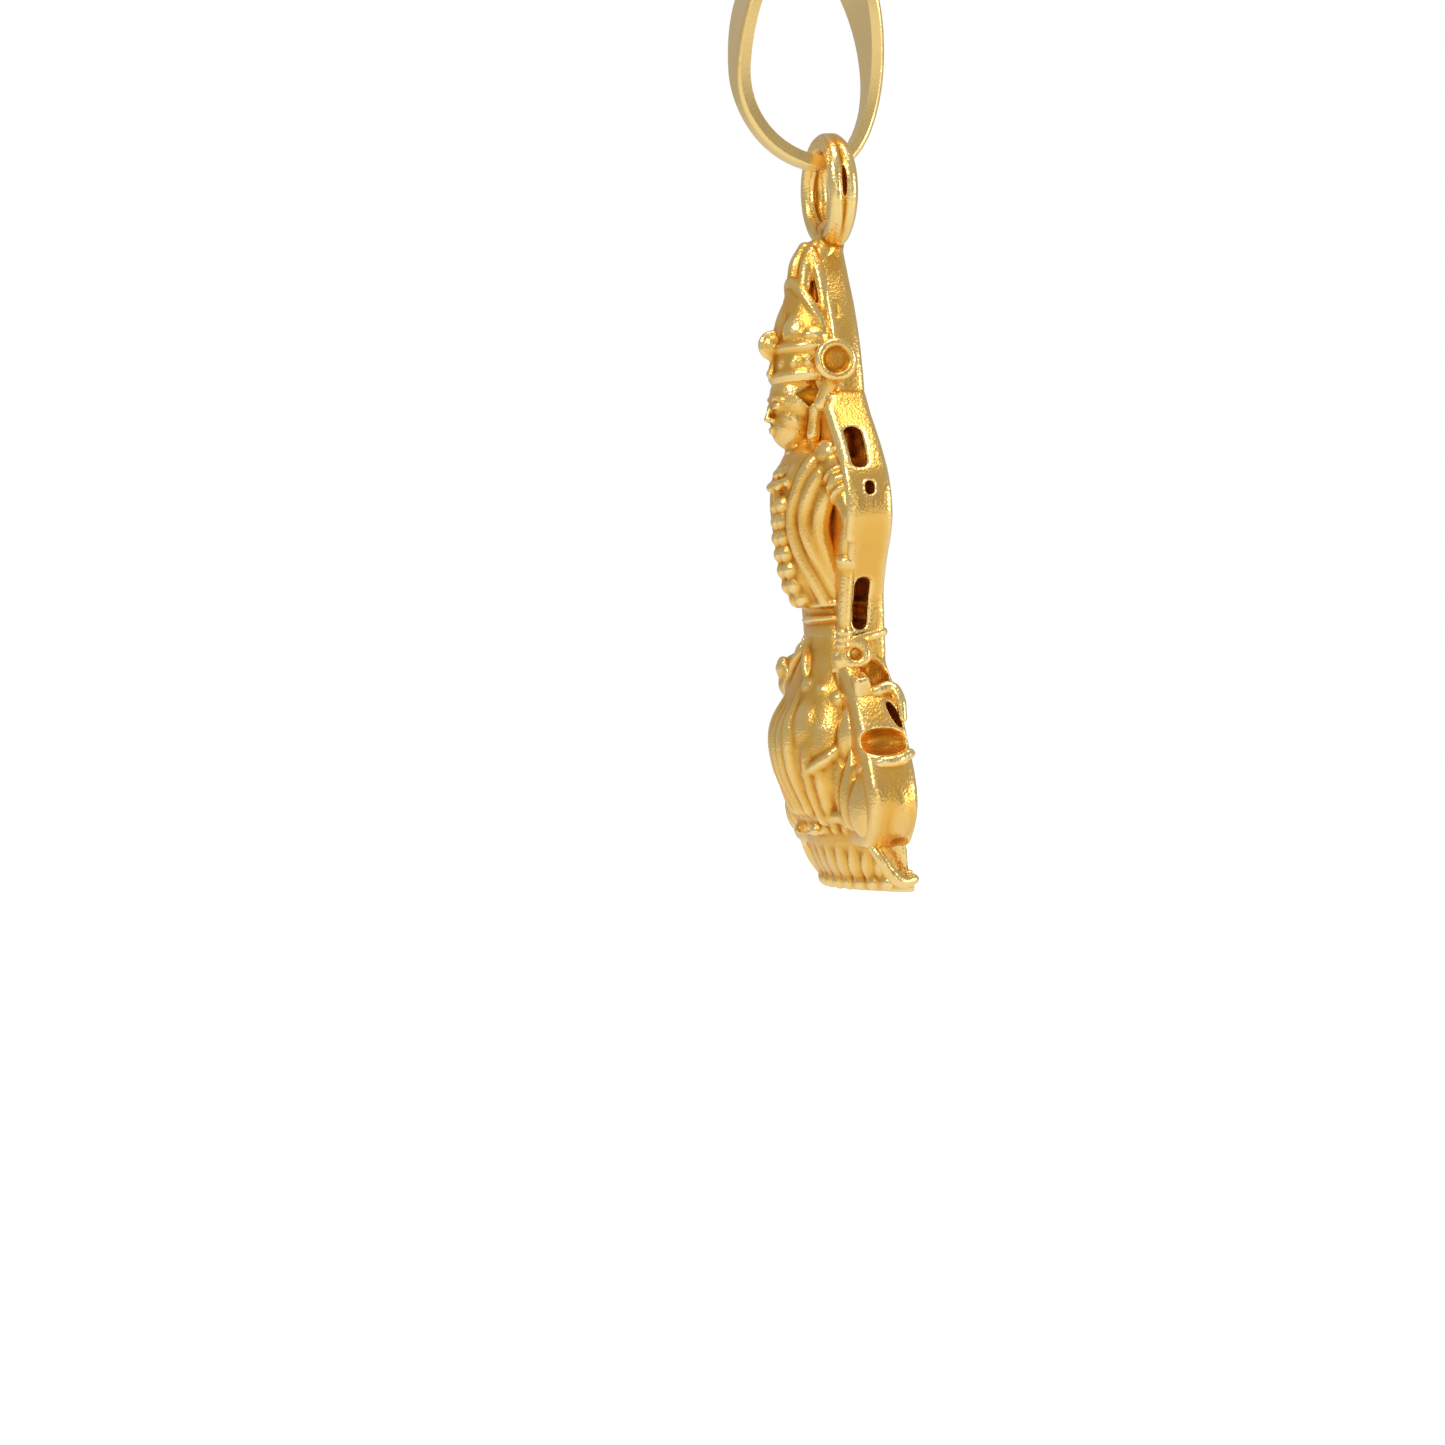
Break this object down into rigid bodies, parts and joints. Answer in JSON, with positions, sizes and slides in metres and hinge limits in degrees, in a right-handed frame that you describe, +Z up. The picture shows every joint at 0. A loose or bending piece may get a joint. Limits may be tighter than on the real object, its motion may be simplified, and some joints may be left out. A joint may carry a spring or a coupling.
{
  "type": "deity pendant",
  "caption": "Cast gold pendant of a standing crowned figure on a lotus base, hanging by a loop from a folded strap bail.",
  "frame": {"origin": "inside top of the bail, where a chain carries the pendant", "axes": "+Z up along the hanging length, -Y the way the figure faces, +X to the right as seen from the front"},
  "size_m": [0.0126, 0.006, 0.0383],
  "materials": {
    "bail_gold": "polished 22 carat gold strap",
    "casting_gold": "satin cast 22 carat gold with polished high places"
  },
  "bodies": {
    "bail": {"bail": "bail_gold"},
    "pendant": {"deity_casting": "casting_gold"}
  },
  "joints": [
    {"name": "pendant_swing", "type": "hinge", "parent": "bail", "child": "pendant", "pos_m": [0, 0.00085, -0.00793], "axis": [1, 0, 0], "range_deg": [-90, 90]}
  ]
}
